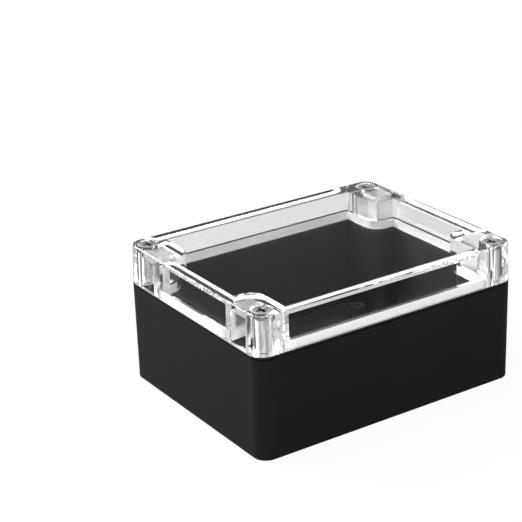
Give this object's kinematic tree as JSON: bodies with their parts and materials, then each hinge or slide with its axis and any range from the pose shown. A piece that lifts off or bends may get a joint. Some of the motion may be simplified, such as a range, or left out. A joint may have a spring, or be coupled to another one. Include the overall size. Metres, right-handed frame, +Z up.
{
  "type": "plastic project box",
  "caption": "Black moulded electronics enclosure with a clear screw-down lid, a sealed room and corner wells for lid and wall screws.",
  "frame": {"origin": "on the table, under the middle of the box", "axes": "+X along the long side, +Y along the short side, +Z up through the lid"},
  "size_m": [0.115, 0.09, 0.055],
  "materials": {
    "base": "matte",
    "lid": "polished",
    "seal": "matte",
    "screws": "satin"
  },
  "bodies": {
    "base": {"base": "base"},
    "lid": {"lid": "lid", "seal": "seal"},
    "lid_screw_front_left": {"lid_screw_front_left": "screws"},
    "lid_screw_back_left": {"lid_screw_back_left": "screws"},
    "lid_screw_front_right": {"lid_screw_front_right": "screws"},
    "lid_screw_back_right": {"lid_screw_back_right": "screws"}
  },
  "joints": [
    {"name": "lid_lift", "type": "slide", "parent": "base", "child": "lid", "axis": [0, 0, 1], "range_m": [0, 0.05]},
    {"name": "screw_out_front_left", "type": "slide", "parent": "lid", "child": "lid_screw_front_left", "axis": [0, 0, 1], "range_m": [0, 0.03]},
    {"name": "screw_out_back_left", "type": "slide", "parent": "lid", "child": "lid_screw_back_left", "axis": [0, 0, 1], "range_m": [0, 0.03]},
    {"name": "screw_out_front_right", "type": "slide", "parent": "lid", "child": "lid_screw_front_right", "axis": [0, 0, 1], "range_m": [0, 0.03]},
    {"name": "screw_out_back_right", "type": "slide", "parent": "lid", "child": "lid_screw_back_right", "axis": [0, 0, 1], "range_m": [0, 0.03]}
  ]
}
